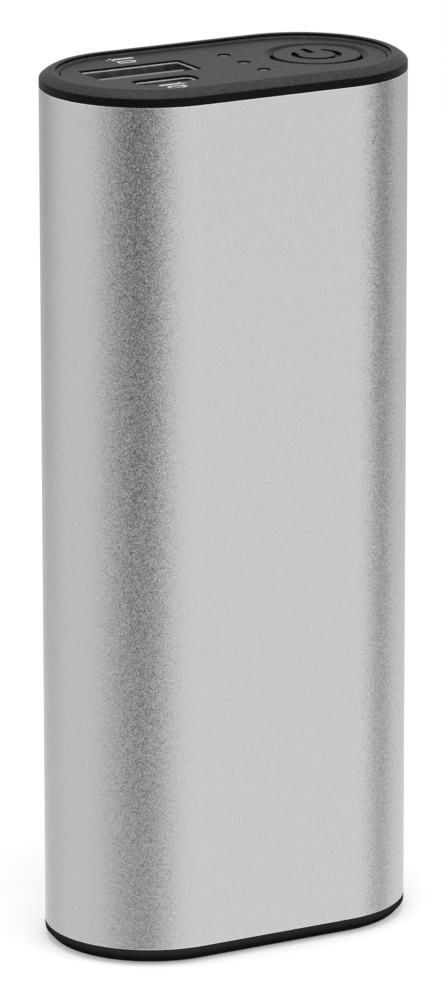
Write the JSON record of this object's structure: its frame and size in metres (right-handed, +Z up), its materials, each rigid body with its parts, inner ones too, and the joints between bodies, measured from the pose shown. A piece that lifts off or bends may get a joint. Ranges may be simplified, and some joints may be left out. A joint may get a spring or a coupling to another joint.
{
  "type": "rechargeable hand warmer",
  "caption": "Pocket hand warmer and power bank: silver flat-sided sleeve with round ends, black end caps, charging sockets and a round push button on top.",
  "frame": {"origin": "centre of the base, on the surface that the warmer stands on", "axes": "+Z up along the sleeve; -Y is the broad front, where the picture looks from; the sockets are near the -X end and the button near the +X end"},
  "size_m": [0.045, 0.0252, 0.104],
  "materials": {
    "anodised_aluminium": "bead blasted and clear anodised, fine silver grain",
    "cap_plastic": "black moulded plastic with a fine eroded texture",
    "plate_plastic": "black moulded plastic, fine even texture",
    "button_plastic": "black moulded plastic, smoother in the engraved mark",
    "mark_ink": "white pad-printed arrows beside the sockets",
    "pad_rubber": "black rubber sheet, matt",
    "socket_steel": "nickel-plated pressed steel",
    "socket_plastic": "grey glass-filled plastic",
    "contact_gold": "gold flash over brass",
    "clear_plastic": "clear moulded plastic, frosted ends",
    "led_package": "white package with clear resin",
    "circuit_board": "green solder mask over glass epoxy",
    "chip_plastic": "black moulding compound",
    "ferrite": "dark grey sintered ferrite",
    "capacitor_can": "drawn aluminium can",
    "tray_plastic": "natural white moulded plastic",
    "cell_wrap": "blue heat-shrink wrap over a steel can; aluminium's density matches a cell of about 46 g",
    "insulator_paper": "pressed paper ring",
    "nickel": "bright nickel strip",
    "heater_film": "amber polyimide film",
    "foam": "grey closed-cell foam",
    "red_lead": "red silicone insulation",
    "black_lead": "black silicone insulation",
    "white_lead": "white silicone insulation",
    "sensor_glass": "amber glass bead",
    "screw_steel": "zinc-plated steel"
  },
  "bodies": {
    "case": {"base_pad": "pad_rubber", "battery_cell_left": "cell_wrap", "battery_cell_right": "cell_wrap", "battery_lead_negative": "black_lead", "battery_lead_positive": "red_lead", "body_sleeve": "anodised_aluminium", "boost_chip": "chip_plastic", "bottom_cap": "cap_plastic", "bottom_screw_front": "screw_steel", "bottom_screw_rear": "screw_steel", "button_board": "circuit_board", "cell_insulator_left": "insulator_paper", "cell_insulator_right": "insulator_paper", "cell_terminal_left": "nickel", "cell_terminal_right": "nickel", "cell_tray_front": "tray_plastic", "cell_tray_rear": "tray_plastic", "charger_chip": "chip_plastic", "face_plate": "plate_plastic", "foam_pad_front": "foam", "foam_pad_rear": "foam", "heater_film_front": "heater_film", "heater_film_rear": "heater_film", "heater_lead_front": "white_lead", "heater_lead_rear": "white_lead", "heater_transistor": "chip_plastic", "indicator_led_1": "led_package", "indicator_led_2": "led_package", "indicator_led_3": "led_package", "light_guide": "clear_plastic", "main_board": "circuit_board", "micro_usb_contact_1": "contact_gold", "micro_usb_contact_2": "contact_gold", "micro_usb_contact_3": "contact_gold", "micro_usb_contact_4": "contact_gold", "micro_usb_contact_5": "contact_gold", "micro_usb_shell": "socket_steel", "micro_usb_tongue": "socket_plastic", "nickel_strip_bottom": "nickel", "nickel_strip_top": "nickel", "output_capacitor_1": "capacitor_can", "output_capacitor_2": "capacitor_can", "power_inductor": "ferrite", "switch_body": "chip_plastic", "switch_cover": "socket_steel", "thermistor": "sensor_glass", "thermistor_lead": "white_lead", "top_cap": "cap_plastic", "top_screw_front": "screw_steel", "top_screw_rear": "screw_steel", "usb_a_contact_1": "contact_gold", "usb_a_contact_2": "contact_gold", "usb_a_contact_3": "contact_gold", "usb_a_contact_4": "contact_gold", "usb_a_shell": "socket_steel", "usb_a_tongue": "socket_plastic"},
    "button": {"power_button": "button_plastic", "switch_plunger": "chip_plastic"}
  },
  "joints": [
    {"name": "button_press", "type": "slide", "parent": "case", "child": "button", "axis": [0, 0, -1], "range_m": [0, 0.0004], "stiffness_N_per_m": 4000, "springref_m": -0.0003}
  ]
}
